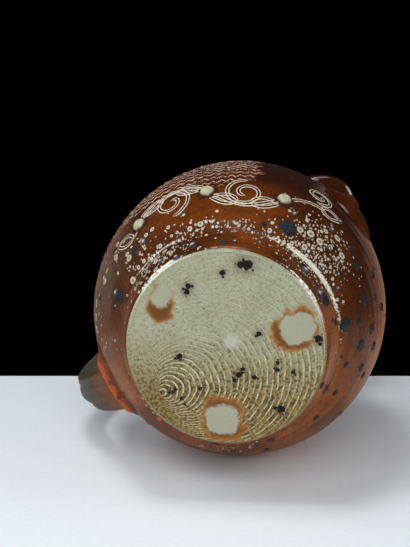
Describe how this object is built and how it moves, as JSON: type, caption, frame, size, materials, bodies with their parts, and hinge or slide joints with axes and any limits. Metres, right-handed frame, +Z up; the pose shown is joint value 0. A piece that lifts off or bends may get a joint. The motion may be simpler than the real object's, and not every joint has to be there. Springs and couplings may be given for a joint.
{
  "type": "face jug",
  "caption": "Round-bellied stoneware jug with a pulled pouring lip, a strap handle and an applied clay face, standing on a flat cut base.",
  "frame": {"origin": "middle of the flat base, on the plane that the jug stands on", "axes": "+Z up the jug's axis to the rim; -Y towards the face and the pulled lip; the handle is on the +Y side, 10 degrees round from straight opposite"},
  "size_m": [0.189, 0.2301, 0.2359],
  "materials": {
    "salt_glaze": "glossy orange-brown salt glaze with pale and dark spots",
    "ash_glaze": "glossy olive-grey ash glaze",
    "bare_clay": "satin orange flashed clay",
    "pale_slip": "glossy cream slip"
  },
  "bodies": {
    "root": {"thrown_body": "salt_glaze", "neck_with_lip": "salt_glaze", "handle_strap": "ash_glaze", "handle_upper_collar": "ash_glaze", "handle_lower_collar": "bare_clay", "chin": "salt_glaze", "lower_lip": "salt_glaze", "upper_lip": "salt_glaze", "nose": "salt_glaze", "eyeball_left": "pale_slip", "eyeball_right": "pale_slip", "lower_lid_left": "salt_glaze", "lower_lid_right": "salt_glaze", "upper_lid_left": "salt_glaze", "upper_lid_right": "salt_glaze", "brow_left": "salt_glaze", "brow_right": "salt_glaze", "boss_front": "pale_slip", "boss_middle": "pale_slip", "boss_rear": "pale_slip"}
  },
  "joints": []
}
